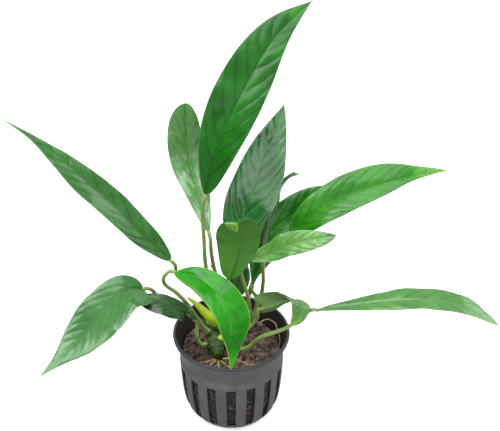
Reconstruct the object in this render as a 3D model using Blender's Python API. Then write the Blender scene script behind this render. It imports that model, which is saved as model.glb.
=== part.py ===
"""Potted anubias: a slotted net pot of dark plastic, peaty soil, a creeping rhizome with roots,
a shoot, a bud and an old sheath, and fifteen leaves, each a blade on its own stalk.  Metres, +Z up, origin at the centre of the
pot's base; the fronts of the drooping leaves face -Y."""
import math

import bmesh
import bpy
import numpy as np

for old in list(bpy.data.objects):
    bpy.data.objects.remove(old, do_unlink=True)

MM = 0.001

# ---- driving dimensions -------------------------------------------------------------------
POT_HEIGHT = 47.0 * MM
RIM_D = 55.0 * MM            # outside diameter of the lip
WALL = 1.2 * MM
SLOT_COUNT = 16
SLOT_WIDTH = 4.4 * MM        # measured where the body is widest
SLOT_TOP = 0.655             # share of the pot's height
SLOT_FOOT = 0.060
SOIL_DROP = 9.0 * MM         # rim down to the soil
GAP = 0.3 * MM               # clearance between neighbouring pieces

PLANT_HEIGHT = 160.0 * MM    # tip of the tallest leaf above the soil
RHIZOME_D = 8.0 * MM
STALK_D = 2.0 * MM           # half way up a large leaf's stalk
BLADE_T = 0.8 * MM
RIB_T = 0.9 * MM             # extra thickness of a midrib at the blade's base
ROOT_D = 1.0 * MM

SOIL_Z = POT_HEIGHT - SOIL_DROP
GROW = PLANT_HEIGHT / 160.0          # metres per unit of the leaf tables (1 mm here)
CROWN = np.array([0.0, 0.0, SOIL_Z])

rng = np.random.default_rng(7)

# ---- materials -----------------------------------------------------------------------------
def material(name, colour, rough, sheen=0.0):
    mat = bpy.data.materials.new(name)
    mat.use_nodes = True
    shader = mat.node_tree.nodes["Principled BSDF"]
    shader.inputs["Base Color"].default_value = (*colour, 1.0)
    shader.inputs["Roughness"].default_value = rough
    shader.inputs["Coat Weight"].default_value = sheen
    mat.diffuse_color = (*colour, 1.0)
    return mat

# ---- mesh helpers --------------------------------------------------------------------------
def solid(name, verts, faces, mat, smooth=True):
    """One closed body from points and faces, faces turned outwards."""
    mesh = bpy.data.meshes.new(name)
    mesh.from_pydata([tuple(v) for v in verts], [], [tuple(f) for f in faces])
    bm = bmesh.new()
    bm.from_mesh(mesh)
    bmesh.ops.recalc_face_normals(bm, faces=bm.faces)
    if bm.calc_volume(signed=True) < 0:
        bmesh.ops.reverse_faces(bm, faces=bm.faces)
    for face in bm.faces:
        face.smooth = smooth
    for edge in bm.edges:
        if len(edge.link_faces) == 2 and edge.calc_face_angle() > math.radians(40):
            edge.smooth = False
    bm.to_mesh(mesh)
    bm.free()
    mesh.materials.append(mat)
    obj = bpy.data.objects.new(name, mesh)
    bpy.context.collection.objects.link(obj)
    return obj

def unit(v):
    return v / np.linalg.norm(v, axis=-1, keepdims=True)

def ease(t):
    """Smooth step from 0 at t = 0 to 1 at t = 1."""
    t = np.clip(t, 0.0, 1.0)
    return t * t * (3 - 2 * t)

def smooth_path(points, n):
    """n+1 evenly spaced points on a cubic Hermite curve through the given points."""
    P = np.array(points, float)
    t = np.concatenate([[0.0], np.cumsum(np.linalg.norm(np.diff(P, axis=0), axis=1))])
    slope = np.gradient(P, t, axis=0)
    s = np.linspace(0.0, t[-1], 16 * n + 1)
    i = np.clip(np.searchsorted(t, s, side="right") - 1, 0, len(t) - 2)
    h = t[i + 1] - t[i]
    x = ((s - t[i]) / h)[:, None]
    h = h[:, None]
    C = ((1 + 2 * x) * (1 - x) ** 2 * P[i] + x * (1 - x) ** 2 * h * slope[i]
         + x * x * (3 - 2 * x) * P[i + 1] + x * x * (x - 1) * h * slope[i + 1])
    run = np.concatenate([[0.0], np.cumsum(np.linalg.norm(np.diff(C, axis=0), axis=1))])
    at = np.linspace(0.0, run[-1], n + 1)
    return np.stack([np.interp(at, run, C[:, k]) for k in range(3)], axis=-1)

def frames(path, hint):
    """Tangents and two cross directions along a path; the first cross direction follows hint."""
    T = unit(np.gradient(path, axis=0))
    A = unit(hint - (T @ hint)[:, None] * T)
    return T, A, np.cross(T, A)

def tube(name, points, radii, mat, segments=10, sides=8, flat=1.0, ripple=0.0):
    """Closed tube along a smooth curve; radii are spread evenly along it."""
    path = smooth_path(points, segments)
    hint = np.array([0.31, -0.87, 0.38])
    _, A, B = frames(path, hint)
    r = np.interp(np.linspace(0, 1, segments + 1), np.linspace(0, 1, len(radii)), radii)
    r = r * (1 + ripple * np.cos(np.pi * np.arange(segments + 1)))
    a = np.arange(sides) * 2 * math.pi / sides
    ring = (np.cos(a)[None, :, None] * A[:, None] + flat * np.sin(a)[None, :, None] * B[:, None])
    verts = (path[:, None] + r[:, None, None] * ring).reshape(-1, 3)
    faces = []
    for i in range(segments):
        for j in range(sides):
            k = (j + 1) % sides
            faces.append((i * sides + j, i * sides + k, (i + 1) * sides + k, (i + 1) * sides + j))
    faces.append(tuple(range(sides)))
    faces.append(tuple(segments * sides + j for j in range(sides)))
    return solid(name, verts, faces, mat)

# ---- pot -----------------------------------------------------------------------------------
R = RIM_D / 2
H = POT_HEIGHT
# outside of the pot as shares of rim radius and height, lip first; slots fill the marked rows
BODY = [(1.000, 1.000), (0.996, 0.965), (0.940, 0.880), (0.885, 0.770), (0.873, 0.735),
        (0.895, 0.690), (0.896, SLOT_TOP), (0.888, 0.550), (0.872, 0.420), (0.851, 0.300),
        (0.815, 0.190), (0.760, 0.115), (0.690, SLOT_FOOT), (0.620, 0.018), (0.560, 0.0)]
OUT = np.array([(r * R, z * H) for r, z in BODY])
FIRST_SLOT_ROW, LAST_SLOT_ROW = 6, 12

def inset(profile, depth):
    """The profile moved inwards, square to itself, by depth."""
    d = np.gradient(profile, axis=0)
    n = np.stack([d[:, 1], -d[:, 0]], axis=-1)
    return profile + depth * unit(n)

def pot():
    inner = inset(OUT, WALL)
    inner[0] = (OUT[0, 0] - 1.3 * WALL, H)
    inner[1] = (OUT[1, 0] - 1.25 * WALL, OUT[1, 1])
    inner[-1, 1] = WALL
    inner[-2, 1] = max(inner[-2, 1], WALL * 1.15)
    slot = SLOT_WIDTH / OUT[FIRST_SLOT_ROW, 0] / 2
    rib = math.pi / SLOT_COUNT
    columns = []
    for s in range(SLOT_COUNT):
        front = -math.pi / 2 + 2 * rib * s
        columns += [front - slot, front + slot, front + rib]
    a = np.array(columns)
    n, rows = len(a), len(OUT)
    rings = np.concatenate([OUT, inner])
    verts = np.stack([rings[:, :1] * np.cos(a), rings[:, :1] * np.sin(a),
                      np.repeat(rings[:, 1:], n, axis=1)], axis=-1).reshape(-1, 3)

    def vert(side, i, j):
        return (side * rows + i) * n + j % n

    def open_cell(i, j):
        return j % 3 == 0 and FIRST_SLOT_ROW <= i < LAST_SLOT_ROW

    faces = []
    for j in range(n):
        faces.append((vert(0, 0, j), vert(0, 0, j + 1), vert(1, 0, j + 1), vert(1, 0, j)))
        for i in range(rows - 1):
            if open_cell(i, j):
                continue
            for side in (0, 1):
                faces.append((vert(side, i, j), vert(side, i, j + 1),
                              vert(side, i + 1, j + 1), vert(side, i + 1, j)))
    for j in range(0, n, 3):
        for i in range(FIRST_SLOT_ROW, LAST_SLOT_ROW):
            for k in (j, j + 1):
                faces.append((vert(0, i, k), vert(0, i + 1, k), vert(1, i + 1, k), vert(1, i, k)))
        for i in (FIRST_SLOT_ROW, LAST_SLOT_ROW):
            faces.append((vert(0, i, j), vert(0, i, j + 1), vert(1, i, j + 1), vert(1, i, j)))
    faces.append(tuple(vert(0, rows - 1, j) for j in range(n)))
    faces.append(tuple(vert(1, rows - 1, j) for j in range(n)))
    mat = material("pot_plastic", (0.16, 0.16, 0.165), 0.55)
    return solid("pot", verts, faces, mat)

# ---- rhizome -------------------------------------------------------------------------------
def at(points):
    """Plant points in mm from the crown's foot on the soil, placed in metres."""
    return CROWN + np.array(points, float) * GROW

RHIZOME = at([(-6, -12.5, 3.4), (-7, -8, 5), (-8, -2, 6.5), (-6, 4, 7.5), (0, 8, 8), (7, 9, 8),
              (12, 8, 7.5)])
RHIZOME_R = RHIZOME_D / 2 * np.array([0.6, 0.95, 1.0, 1.0, 0.98, 0.9, 0.55])

def socket(station, roll, lift):
    """Point just off the rhizome's skin: station 0..1 along it, roll 0 up, 90 to its right."""
    line = smooth_path(RHIZOME, 60)
    T, A, B = frames(line, np.array([0.0, 0.0, 1.0]))
    s = np.linspace(0, 1, 61)
    c, t, up = (np.array([np.interp(station, s, M[:, k]) for k in range(3)]) for M in (line, T, A))
    right = np.cross(unit(t), unit(up))
    r = np.interp(station, np.linspace(0, 1, len(RHIZOME_R)), RHIZOME_R)
    a = math.radians(roll)
    out = math.cos(a) * unit(up) + math.sin(a) * right
    return c + (r * 1.04 + lift) * out, out

# ---- leaves --------------------------------------------------------------------------------
def leaf(name, grows, stalk, rib, half, face, belly=0.40, taper=1.7, fold=(20, 8), lobe=1.5,
         tail=0.0):
    return dict(name=name, grows=grows, stalk=stalk, rib=rib, half=half, face=face, belly=belly,
                taper=taper, fold=fold, lobe=lobe, tail=tail)

# points in mm from the crown's foot; pairs are left and right of the midrib, seen from above
# looking to the tip; half: half widths; face: where the upper side looks, base to tip
LEAVES = [
    leaf("tall", (0.56, 0), [(-6, 4, 26), (-11, 2, 43), (-12, 3, 60)],
         [(-11, 5, 83), (-4, 9, 110), (7, 17, 132), (20, 28, 150), (36, 42, 160)],
         (12.3, 11.3), [(0, -0.8, 0.6)], (0.48, 0.41), (1.9, 2.1)),
    leaf("upright_left", (0.62, -30), [(-5, 9, 26), (-7.5, 8.5, 38), (-9, 7.5, 50)],
         [(-10, 10, 59.4), (-14, 22, 71.5), (-19, 33, 85.4), (-20, 35, 99.5), (-20, 34, 113.4)],
         (9.5, 7), [(0, -0.8, 0.6)], 0.62, 1.35),
    leaf("upright_mid", (0.78, -15), [(4, 9, 28)],
         [(4, 9, 45), (7, 13, 71), (11, 17, 82), (15, 22, 94), (24, 32, 114)],
         (10.3, 12.5), [(0, -0.8, 0.6)], (0.38, 0.45), 1.7, fold=(9, 4)),
    leaf("front_round", (0.62, 35), [(-1, 1, 20), (-1, -4, 33)],
         [(-1, -6, 45), (1, -5, 52), (3, -5, 61), (4, -8, 72), (4, -12, 80), (3, -17, 79)],
         (10, 10.5), [(0, 0.8, -0.6), (0, 0.8, 0.3)], 0.5, 1.3),
    leaf("back_right", (0.94, 35), [(12, 7, 19), (11.5, 8, 24)],
         [(10, 9, 29), (12, 14, 40), (16, 19, 50), (28, 25, 58), (48, 33, 69)],
         (8.5, 8), [(0, -0.8, 0.6)], 0.6, 2.0),
    leaf("right_long", (0.88, -40), [(8, 12, 18), (10, 12.5, 28), (20, 13, 44)],
         [(27, 14, 56), (38, 14, 68), (50, 15, 75), (61, 16, 79), (78, 18, 83.5), (98, 22, 85)],
         (10, 9.0), [(0, -0.6, 0.8)], (0.5, 0.28), (1.5, 1.8), tail=0.35),
    leaf("right_twisted", (0.82, 40), [(6.5, 2, 17), (8, -0.6, 27)],
         [(9, 0, 51), (18, -1, 55), (27, -3, 62), (36, -5, 66), (47, -7, 70)],
         (6.0, 5.5), [(-0.2, -0.7, 0.7)], (0.4, 0.55), 1.4),
    leaf("right_low", (0.20, 85), [(5, -7, 4), (14, -8, 12), (26, -7, 17), (35, -5, 24)],
         [(39, -5, 26), (60, -4, 28.5), (81, -3, 30), (94, -3, 29.8), (107, -4, 27),
          (124, -7.5, 18.5)],
         (7.8, 6.3), [(0, -0.1, 1)], (0.62, 0.5), (1.75, 1.9), fold=(10, 4)),
    leaf("right_folded", (0.36, 80), [(2, -3, 9), (7, -5, 14), (12, -5, 21)],
         [(15, -4, 26), (19, -2, 26), (24, -1, 28), (29, -3, 30), (32, -8, 31), (31, -12, 28),
          (27, -15, 24)],
         (6, 9.5), [(-0.2, 0.9, -0.3), (0.1, 0.6, 0.5), (0.6, -0.3, 0.7), (0.6, -0.5, 0.6)],
         (0.4, 0.3), 1.3, lobe=(3, 7)),
    leaf("front_droop", (0.33, -40),
         [(-16, -2, 19), (-21, -4, 30), (-25, -6, 37), (-30, -8, 44), (-30, -9, 48)],
         [(-25, -9, 51), (-16, -13, 52), (-7, -20, 49), (-1, -27, 41), (0, -32, 31),
          (0, -35, 16)],
         (10, 7.6), [(0.2, -0.5, 0.8), (0.5, -0.7, 0.3)], (0.60, 0.36), (1.5, 1.6), lobe=0.5,
         tail=0.45),
    leaf("left_long", (0.53, -38), [(-10, 8.6, 17), (-17, 6.4, 29), (-25, 0, 43)],
         [(-27, -3, 53), (-37, -3, 65), (-53, -1, 84), (-70, 3, 100), (-85, 7, 112),
          (-100, 12, 119.5)],
         (9.2, 7.0), [(0.45, -0.45, 0.75)], (0.38, 0.30), (1.8, 1.8), lobe=0.5, tail=0.5),
    leaf("left_droop", (0.44, -70), [(-16, 3, 14), (-24, 0, 22), (-32.5, -4, 32)],
         [(-39.5, -9, 41.5), (-47, -13.5, 44.5), (-57, -20.5, 38), (-68, -29, 28), (-78, -36.5, 21),
          (-85.5, -42, 16.5)],
         (14, 10), [(-0.1, -0.5, 0.85)], (0.27, 0.36), (1.8, 1.9), fold=(25, 5),
         lobe=(5, 1), tail=0.3),
    leaf("left_striped", (0.22, -85), [(-15.9, -6.2, 10.6)],
         [(-17, -5, 20), (-22, -9.5, 29.5), (-29, -11.5, 35), (-36, -11, 37), (-43, -8, 36.5)],
         (7, 3.8), [(-0.5, -0.4, 0.7), (0, -0.4, 0.9)], 0.55, 1.6, lobe=0),
    leaf("back_narrow", (0.97, -30), [(14, 9.5, 22), (15, 9.5, 32)],
         [(15, 10, 41), (15.5, 12, 52), (19.5, 15.5, 67), (24, 21, 80), (29, 23, 82.5),
          (32, 24, 81)],
         (5, 5), [(1, -0.3, 0.2)], 0.4, 1.7),
    leaf("inner", (0.72, 15), [(2, 4, 21)],
         [(3, 2.5, 29), (4, 3.5, 37), (4, 4.5, 44), (5, 6.5, 52)],
         (6, 5), [(0, -0.8, 0.6)], 0.4, 1.5),
]

ACROSS = (-1.0, -0.62, -0.16, 0.0, 0.16, 0.62, 1.0)
CURL = 0.10                  # downward curl at the margin, as a share of the half width

def blade(spec, mat, rows=14):
    """Closed thin solid: a midrib curve, half widths either side, folded and curled."""
    rib = smooth_path(at(spec["rib"]), rows)
    u = np.linspace(0, 1, rows + 1)
    F = np.array(spec["face"], float)
    F = unit(F)
    k = np.linspace(0, 1, len(F))
    want = np.stack([np.interp(u, k, F[:, i]) for i in range(3)], axis=-1)
    T = unit(np.gradient(rib, axis=0))
    N = unit(want - (want * T).sum(-1, keepdims=True) * T)
    S = np.cross(T, N)
    v = np.array(ACROSS)

    def sides(key):
        pair = np.broadcast_to(spec[key], 2)
        return np.where(v < 0, pair[0], pair[1])[None]

    m, f, u = sides("belly"), sides("taper"), u[:, None]
    shape = (u / m) ** (f * m) * ((1 - u) / (1 - m)) ** (f * (1 - m))
    reach = sides("half") * GROW
    shape = shape * (1 - spec["tail"] * ease((u - 0.6) / 0.3))
    w = np.maximum(shape * reach, (0.55 * (1 - u) + 0.25) * MM)
    a = np.abs(v)[None]
    fold = np.radians(np.interp(u, np.linspace(0, 1, len(spec["fold"])), spec["fold"]))
    side = w * v[None] * np.cos(fold)
    lift = w * a * np.sin(fold) - CURL * w * a ** 2.5
    ends = np.minimum(1, 8 * np.minimum(u, 1 - u))
    along = (0.30 * w * a * (1 - u) * ends
             - sides("lobe") * GROW * a ** 1.5 * u / 0.07 * np.exp(1 - u / 0.07))
    mid = (rib[:, None] + side[..., None] * S[:, None] + lift[..., None] * N[:, None]
           + along[..., None] * T[:, None])
    skin = unit(np.cross(np.gradient(mid, axis=1), np.gradient(mid, axis=0)))
    normal = unit(ends[..., None] * skin + (1 - ends[..., None]) * N[:, None])
    keel = np.clip(1 - np.abs(v) / 0.3, 0, 1)[None] * (1 - 0.8 * u) * RIB_T
    thin = 1 - 0.45 * a ** 3
    top = mid + normal * (BLADE_T / 2 * thin)[..., None]
    under = mid - normal * (BLADE_T / 2 * thin + keel)[..., None]
    n = len(v)
    verts = np.concatenate([top.reshape(-1, 3), under.reshape(-1, 3)])
    base = (rows + 1) * n
    faces = []
    for i in range(rows):
        for j in range(n - 1):
            q = (i * n + j, i * n + j + 1, (i + 1) * n + j + 1, (i + 1) * n + j)
            faces += [q, tuple(base + k for k in q)]
        for j in (0, n - 1):
            faces.append((i * n + j, (i + 1) * n + j, base + (i + 1) * n + j, base + i * n + j))
    for i in (0, rows):
        for j in range(n - 1):
            faces.append((i * n + j, i * n + j + 1, base + i * n + j + 1, base + i * n + j))
    return solid("blade_" + spec["name"], verts, faces, mat)

def stalk(spec, mat):
    """Tube from the rhizome's skin to just short of the blade's base."""
    r = STALK_D / 2
    start, out = socket(*spec["grows"], GAP + 0.1 * STALK_D)
    tip = at([spec["rib"][0], spec["rib"][1]])
    along = unit(tip[1] - tip[0])
    end = tip[0] - along * 1.4 * GAP
    points = [start, start + out * 2.2 * MM, *at(spec["stalk"]), end - 1.8 * MM * along, end]
    return tube("stalk_" + spec["name"], points, [1.35 * r, 1.05 * r, 0.95 * r, 0.85 * r, 0.8 * r],
                mat, segments=12)

# ---- soil ----------------------------------------------------------------------------------
def soil():
    """Peaty fill following the pot's inside, with an uneven, slightly mounded top."""
    inner = inset(OUT, WALL + GAP)
    inner[-1, 1] = WALL + GAP
    inner[-2, 1] = max(inner[-2, 1], (WALL + GAP) * 1.12)
    low = inner[inner[:, 1] < SOIL_Z - 0.6 * MM]
    edge = np.interp(SOIL_Z, inner[::-1, 1], inner[::-1, 0])
    n, rings = 48, 9
    a = np.arange(n) * 2 * math.pi / n
    bumps = rng.uniform(-1, 1, (70, 3)) * np.array([edge, edge, 1.1 * MM])
    share = np.linspace(1, 1 / rings, rings)
    x = edge * share[:, None] * np.cos(a)
    y = edge * share[:, None] * np.sin(a)
    near = np.exp(-((x[..., None] - bumps[:, 0]) ** 2 + (y[..., None] - bumps[:, 1]) ** 2)
                  / (2 * (2.6 * MM) ** 2))
    z = SOIL_Z - 0.5 * MM + (near * bumps[:, 2]).sum(-1)
    z = np.clip(z, SOIL_Z - 2.0 * MM, SOIL_Z + 0.4 * MM)
    z[0] = SOIL_Z
    wall = [np.stack([r * np.cos(a), r * np.sin(a), np.full(n, h)], axis=-1) for r, h in low]
    grid = [np.stack([x[i], y[i], z[i]], axis=-1) for i in range(rings)]
    rows = wall[::-1] + grid
    verts = np.concatenate(rows)
    faces = [(i * n + j, i * n + (j + 1) % n, (i + 1) * n + (j + 1) % n, (i + 1) * n + j)
             for i in range(len(rows) - 1) for j in range(n)]
    faces.append(tuple(range(n)))
    faces.append(tuple((len(rows) - 1) * n + j for j in range(n)))
    return solid("soil", verts, faces, material("soil_peat", (0.055, 0.030, 0.022), 0.95))

# ---- roots, young shoot, bud and old sheath ----------------------------------------------------
ROOTED_D = 8.0 * MM          # the rhizome's thickness that the roots' table starts from
ROOTS = {
    "left_a": [(-10.6, 2.6, 3.4), (-12.4, 0.8, 2.6), (-13.4, -2.2, 1.8)],
    "left_b": [(-12.6, 4.6, 2.8), (-14.6, 2.6, 2.2), (-15.4, 0.2, 1.8)],
    "foot_a": [(-9.4, -13.4, 2.4), (-13, -14.6, 2.2), (-17, -12.8, 1.9)],
    "foot_b": [(-8.4, -15.6, 2.1), (-11, -17, 1.9), (-14.6, -16.4, 1.8)],
    "foot_c": [(-6, -16.0, 2.2), (-6.2, -18.4, 1.9), (-8.6, -20, 1.8)],
    "foot_d": [(-3.4, -15.4, 2.1), (-1, -17.6, 2.0), (4, -19, 1.8)],
    "foot_e": [(-2.4, -13, 2.4), (3, -14, 3.2), (9, -15.4, 1.9)],
    "wall": [(14.2, 9.6, 6.6), (17.4, 11.6, 6.8), (21.0, 8.6, 6.0), (22.8, 3.0, 4.4),
             (22.9, -1.6, 2.0)],
}

def root_path(points):
    """A root's points: it starts at the rhizome, whose place follows the plant's size and whose
    skin follows its own, and spreads over the soil towards the pot's wall, so its far end follows
    the pot's size."""
    P = np.array(points, float)
    width = (RIM_D / 2 - WALL) / 26.3        # metres per unit of the table near the wall
    share = np.sqrt(np.linspace(0.0, 1.0, len(P)))[:, None]
    P[:, :2] *= GROW * (1 - share) + width * share
    P[:, 2] *= MM
    P += CROWN
    nearest = RHIZOME[np.argmin(np.linalg.norm(RHIZOME - P[0], axis=1))]
    away = unit((P[0] - nearest) * np.array([1.0, 1.0, 0.0]))
    return P + (1 - share) * (RHIZOME_D - ROOTED_D) / 2 * away

pot()
soil()
tube("rhizome", RHIZOME, RHIZOME_R, material("rhizome_skin", (0.10, 0.19, 0.05), 0.6),
     segments=22, sides=12, ripple=0.03)
root_mat = material("root_skin", (0.50, 0.40, 0.16), 0.6)
for name, points in ROOTS.items():
    r = ROOT_D / 2
    tube("root_" + name, root_path(points), [r, r, 0.6 * r], root_mat, segments=7, sides=6)
base, out = socket(0.44, -8, GAP)
tube("shoot", [base, base + out * 2 * MM, *at([(-11.8, 2.2, 17.5), (-16, 2.5, 23), (-20.5, 3, 27)])],
     np.array([2.5, 2.4, 1.9, 1.2, 0.4]) * MM, material("shoot_skin", (0.45, 0.55, 0.05), 0.4),
     segments=10)
base, out = socket(0.64, -75, GAP)
tube("old_sheath", [base, base + out * 2 * MM, *at([(-4.6, 12.2, 24), (-7.6, 11.3, 35.5), (-9.6, 11, 40)])],
     np.array([1.0, 1.0, 0.9, 0.8, 0.4]) * MM, material("sheath_skin", (0.30, 0.27, 0.08), 0.6),
     segments=10)
base, out = socket(0.22, 40, GAP)
tube("bud", [base, base + out * 1.6 * MM, base + out * 2.6 * MM],
     np.array([1.5, 1.4, 0.5]) * MM, material("bud_skin", (0.30, 0.42, 0.08), 0.45), segments=4)
for spec in LEAVES:
    blade(spec, material("leaf_" + spec["name"], (0.07, 0.22, 0.04), 0.3, 0.3))
    stalk(spec, material("stem_" + spec["name"], (0.16, 0.33, 0.06), 0.45))
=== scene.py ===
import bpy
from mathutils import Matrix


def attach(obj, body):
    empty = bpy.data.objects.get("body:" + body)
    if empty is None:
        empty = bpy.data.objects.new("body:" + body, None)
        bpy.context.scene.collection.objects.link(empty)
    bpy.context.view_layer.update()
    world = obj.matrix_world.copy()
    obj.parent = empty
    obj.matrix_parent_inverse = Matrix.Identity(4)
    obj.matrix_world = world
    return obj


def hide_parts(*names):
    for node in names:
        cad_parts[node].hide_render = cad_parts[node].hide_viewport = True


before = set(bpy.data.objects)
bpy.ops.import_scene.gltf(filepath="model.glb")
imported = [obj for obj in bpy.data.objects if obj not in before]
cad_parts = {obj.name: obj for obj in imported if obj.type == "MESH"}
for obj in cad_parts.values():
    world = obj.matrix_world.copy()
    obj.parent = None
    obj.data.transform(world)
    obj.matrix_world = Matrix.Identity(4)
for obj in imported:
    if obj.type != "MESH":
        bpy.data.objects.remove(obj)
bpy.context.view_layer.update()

import math

import bmesh
import bpy
import numpy as np
from mathutils import Vector


# ---------------------------------------------------------------------------- view and studio
# The plant stands on a white table in a white room whose walls are bright all round and fade to
# dark low down.  Soft lights above, in front and at both sides, and a long lens looking down.
camera = bpy.data.objects.new("camera", bpy.data.cameras.new("camera"))
camera.data.lens = 100.0
camera.data.sensor_width = 36.0
camera.location = (0.0088, -0.5037, 0.469)
camera.rotation_euler = (math.radians(54.8), 0.0, 0.0)
bpy.context.collection.objects.link(camera)
bpy.context.scene.camera = camera
bpy.context.scene.view_settings.view_transform = "Standard"


def wire(tree, kind, x, y, **settings):
    """A new shader node of the given kind at (x, y) in a node tree, with its properties set."""
    node = tree.nodes.new(kind)
    node.location = (x, y)
    for key, value in settings.items():
        setattr(node, key, value)
    return node


def softbox(name, place, aim, size, power):
    """A white rectangular light at a place, facing the point it aims at, in metres and watts."""
    light = bpy.data.lights.new(name, "AREA")
    light.shape = "RECTANGLE"
    light.size, light.size_y = size
    light.energy = power
    lamp = bpy.data.objects.new(name, light)
    lamp.location = place
    lamp.rotation_euler = (Vector(aim) - Vector(place)).to_track_quat("-Z", "Y").to_euler()
    bpy.context.collection.objects.link(lamp)


softbox("light_over", (-0.10, -0.15, 0.85), (0.0, 0.0, 0.08), (0.90, 0.80), 6.0)
softbox("light_front", (-0.10, -1.30, 0.30), (0.0, 0.0, 0.12), (1.4, 0.42), 2.4)
softbox("light_left", (-0.62, -0.40, 0.80), (0.0, 0.0, 0.08), (0.35, 0.50), 2.4)
softbox("light_right", (0.75, 0.30, 0.50), (0.0, 0.0, 0.06), (0.40, 0.50), 1.6)

world = bpy.data.worlds.new("studio")
bpy.context.scene.world = world
world.use_nodes = True
sky = world.node_tree
sky.nodes.clear()
seen = wire(sky, "ShaderNodeLightPath", -500, 300)
turn = wire(sky, "ShaderNodeTexCoord", -900, 0)
tilt = wire(sky, "ShaderNodeVectorMath", -700, 0, operation="DOT_PRODUCT")
tilt.inputs[1].default_value = (0.20, 0.15, 1.0)
walls = wire(sky, "ShaderNodeMapRange", -500, 0, interpolation_type="SMOOTHSTEP")
for limit, value in (("From Min", -0.12), ("From Max", 0.34), ("To Min", 0.03), ("To Max", 1.15)):
    walls.inputs[limit].default_value = value
strength = wire(sky, "ShaderNodeMix", -300, 200, data_type="FLOAT")
strength.inputs["B"].default_value = 1.0
back = wire(sky, "ShaderNodeBackground", -100, 100)
out = wire(sky, "ShaderNodeOutputWorld", 100, 100)
sky.links.new(turn.outputs["Generated"], tilt.inputs[0])
sky.links.new(tilt.outputs["Value"], walls.inputs["Value"])
sky.links.new(seen.outputs["Is Camera Ray"], strength.inputs["Factor"])
sky.links.new(walls.outputs["Result"], strength.inputs["A"])
sky.links.new(strength.outputs["Result"], back.inputs["Strength"])
sky.links.new(back.outputs[0], out.inputs[0])


def shape_object(name, verts, faces, sharp=None):
    """A mesh object at the origin from an array of points and a list of faces, shaded smooth;
    edges sharper than the angle in degrees stay crisp."""
    mesh = bpy.data.meshes.new(name)
    mesh.from_pydata(np.asarray(verts).reshape(-1, 3).tolist(), [], [list(f) for f in faces])
    mesh.polygons.foreach_set("use_smooth", np.ones(len(mesh.polygons), bool))
    if sharp is not None:
        mesh.set_sharp_from_angle(angle=math.radians(sharp))
    obj = bpy.data.objects.new(name, mesh)
    bpy.context.collection.objects.link(obj)
    return obj


def new_material(name, **constants):
    """A Principled material with constants set on the shader's own sockets; gives the material,
    its node tree and the shader."""
    mat = bpy.data.materials.new(name)
    mat.use_nodes = True
    shader = mat.node_tree.nodes["Principled BSDF"]
    for socket, value in constants.items():
        shader.inputs[socket.replace("_", " ")].default_value = value
    return mat, mat.node_tree, shader


TABLE = 3.0
floor = shape_object("floor", [(-TABLE, -TABLE, 0), (TABLE, -TABLE, 0), (TABLE, TABLE, 0),
                               (-TABLE, TABLE, 0)], [(0, 1, 2, 3)])
mat, tree, shader = new_material("table_white", Roughness=0.7, Specular_IOR_Level=0.1)
direct = wire(tree, "ShaderNodeLightPath", -600, 200)
white = wire(tree, "ShaderNodeMix", -300, 200, data_type="RGBA")
white.inputs[6].default_value = (0.34, 0.34, 0.34, 1)
white.inputs[7].default_value = (0.95, 0.95, 0.95, 1)
tree.links.new(direct.outputs["Is Camera Ray"], white.inputs["Factor"])
tree.links.new(white.outputs[2], shader.inputs["Base Color"])
glow = wire(tree, "ShaderNodeMix", -300, -200, data_type="RGBA")
glow.inputs[6].default_value = (0, 0, 0, 1)
glow.inputs[7].default_value = (1, 1, 1, 1)
tree.links.new(direct.outputs["Is Camera Ray"], glow.inputs["Factor"])
tree.links.new(glow.outputs[2], shader.inputs["Emission Color"])
shader.inputs["Emission Strength"].default_value = 0.5
floor.data.materials.append(mat)


# ---------------------------------------------------------------------------- net pot
# A moulded pot of dark grey plastic: a flared collar with a thin rounded lip, a neck, and a
# slotted body that rounds in to a flat base.  The slots let water and roots through.
MM = 0.001
POT_H = 47.0 * MM
RIM_R = 27.5 * MM
WALL = 1.2 * MM
SLOTS = 16
SLOT_HALF = 2.2 * MM
# the wall's outer line from lip to base, in shares of the lip's radius and the height
POT_LINE = np.array([(1.000, 0.996), (0.998, 0.965), (0.940, 0.880), (0.888, 0.775),
                     (0.875, 0.735), (0.893, 0.700), (0.896, 0.655), (0.888, 0.550),
                     (0.872, 0.420), (0.851, 0.300), (0.815, 0.190), (0.760, 0.115),
                     (0.690, 0.060), (0.620, 0.018), (0.560, 0.0)]) * (RIM_R, POT_H)
SLOT_TOP, SLOT_FOOT = 6, 12     # the points of that line between which the slots run


def cubic(P, slope, i, x, h=1.0):
    """Cubic Hermite from point i to point i + 1 at shares x of a stretch whose length is h."""
    return ((1 + 2 * x) * (1 - x) ** 2 * P[i] + x * (1 - x) ** 2 * h * slope[i]
            + x * x * (3 - 2 * x) * P[i + 1] + x * x * (x - 1) * h * slope[i + 1])


def hermite(points, t):
    """Points of a cubic Hermite curve through the given points at the parameters t, where whole
    numbers are the points themselves and the slope at each is that of its neighbours."""
    P = np.asarray(points, float)
    i = np.clip(np.floor(t).astype(int), 0, len(P) - 2)
    return cubic(P, np.gradient(P, axis=0), i, (t - i)[:, None])


def unit(v):
    """The vectors scaled to length one."""
    return v / np.maximum(np.linalg.norm(v, axis=-1, keepdims=True), 1e-12)


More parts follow.
